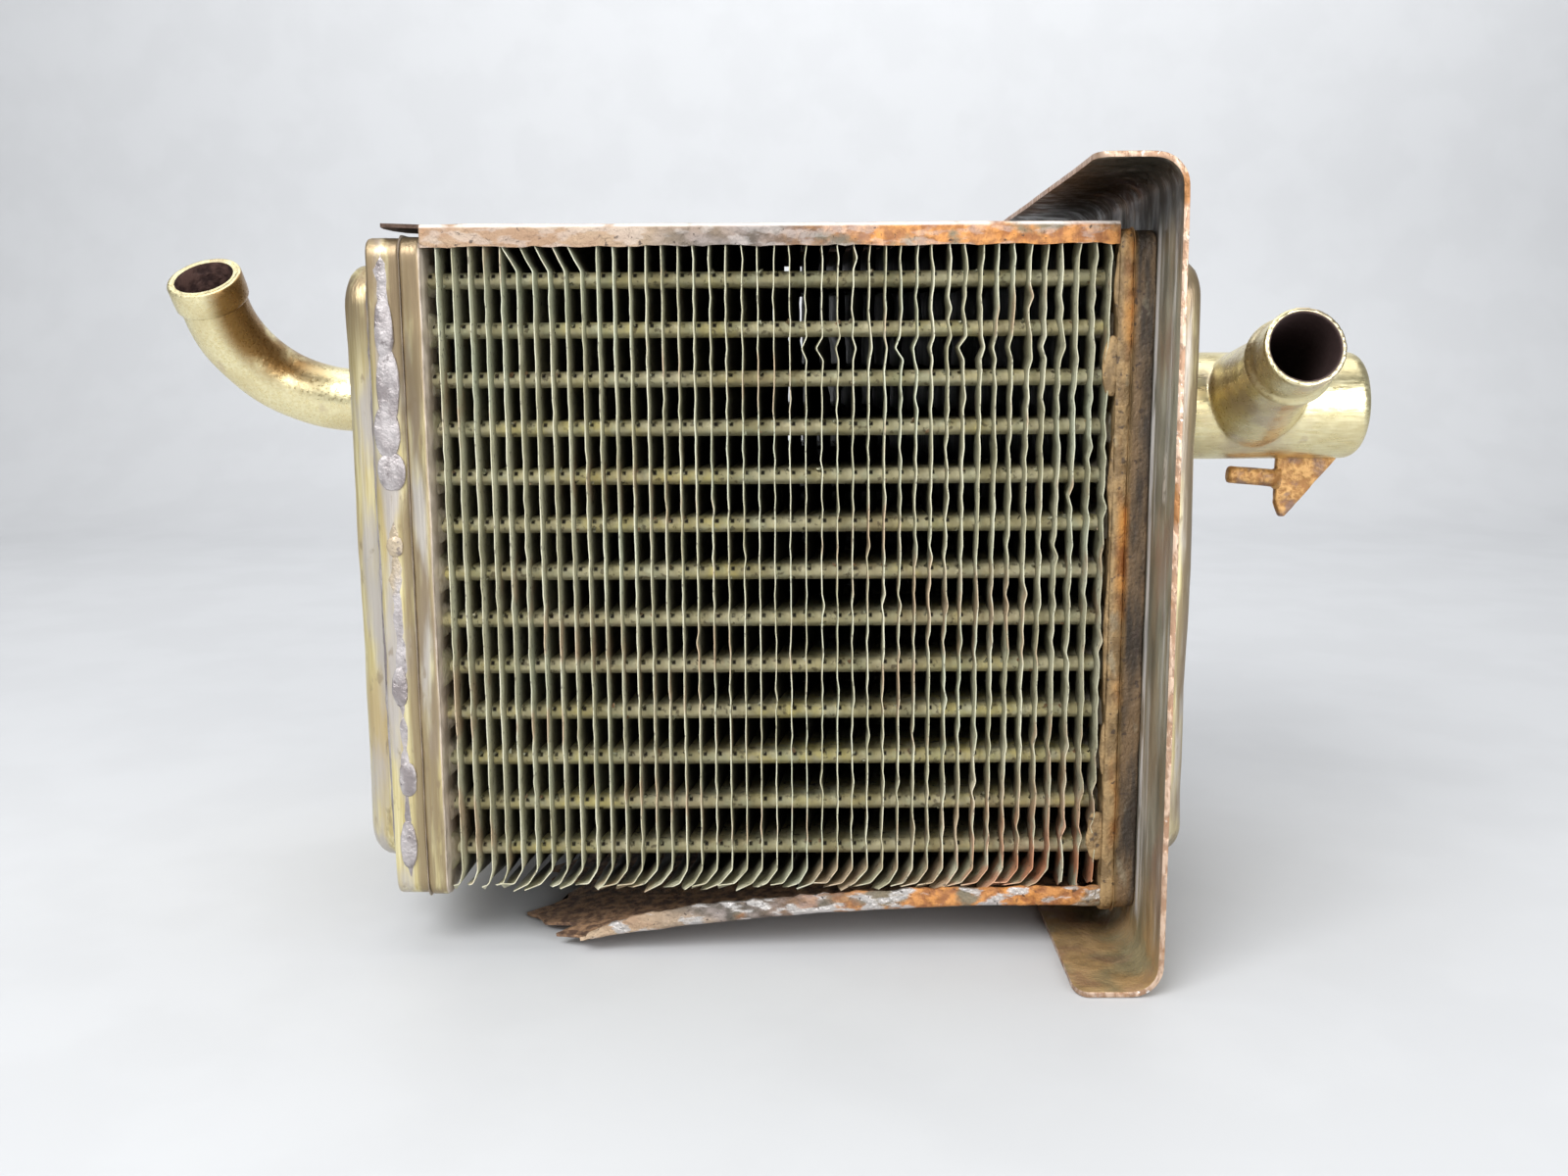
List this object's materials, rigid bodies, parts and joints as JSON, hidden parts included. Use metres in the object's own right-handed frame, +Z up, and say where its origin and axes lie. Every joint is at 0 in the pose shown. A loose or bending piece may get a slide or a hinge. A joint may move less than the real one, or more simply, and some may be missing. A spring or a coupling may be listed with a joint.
{
  "type": "car radiator",
  "caption": "Small brass and copper heater radiator: flat tubes and thin upright fins between two pan tanks, a bent outlet pipe, a side inlet stub and a sheet steel end flange.",
  "frame": {"origin": "middle of the footprint of the whole part, on the plane it stands on", "axes": "+X along the tubes towards the end flange and the inlet manifold, +Y from the front face of the core to its back, +Z up along the fins"},
  "size_m": [0.2826, 0.148, 0.1721],
  "materials": {
    "bracket_steel": "mild steel, evenly rusted",
    "fin_copper": "thin sheet, olive and grey-green tarnish",
    "pipe_brass": "polished pale brass, tarnished near the joints",
    "sheet_steel": "mild steel sheet with orange and brown rust",
    "solder": "dull grey soft solder",
    "tank_brass": "brushed pale brass with brown stains",
    "tube_copper": "flat drawn tube, greenish olive patina"
  },
  "bodies": {
    "root": {"bottom_side_plate": "sheet_steel", "bracket_gusset": "bracket_steel", "bracket_pin": "bracket_steel", "end_flange": "sheet_steel", "fin_bank_01": "fin_copper", "fin_bank_02": "fin_copper", "fin_bank_03": "fin_copper", "fin_bank_04": "fin_copper", "fin_bank_05": "fin_copper", "fin_bank_06": "fin_copper", "fin_bank_07": "fin_copper", "fin_bank_08": "fin_copper", "fin_bank_09": "fin_copper", "fin_bank_10": "fin_copper", "fin_bank_11": "fin_copper", "inlet_manifold": "pipe_brass", "inlet_neck": "pipe_brass", "inlet_stub": "pipe_brass", "left_header": "tank_brass", "left_rim_bead": "solder", "left_seam_solder": "solder", "left_tank": "tank_brass", "manifold_braze": "solder", "manifold_cap": "pipe_brass", "outlet_boss": "solder", "outlet_ferrule": "pipe_brass", "outlet_pipe": "pipe_brass", "right_header": "tank_brass", "right_seam_solder": "solder", "right_tank": "tank_brass", "top_side_plate": "sheet_steel", "tube_row_01": "tube_copper", "tube_row_02": "tube_copper", "tube_row_03": "tube_copper", "tube_row_04": "tube_copper", "tube_row_05": "tube_copper", "tube_row_06": "tube_copper", "tube_row_07": "tube_copper", "tube_row_08": "tube_copper", "tube_row_09": "tube_copper", "tube_row_10": "tube_copper", "tube_row_11": "tube_copper", "tube_row_12": "tube_copper", "tube_row_13": "tube_copper"}
  },
  "joints": []
}
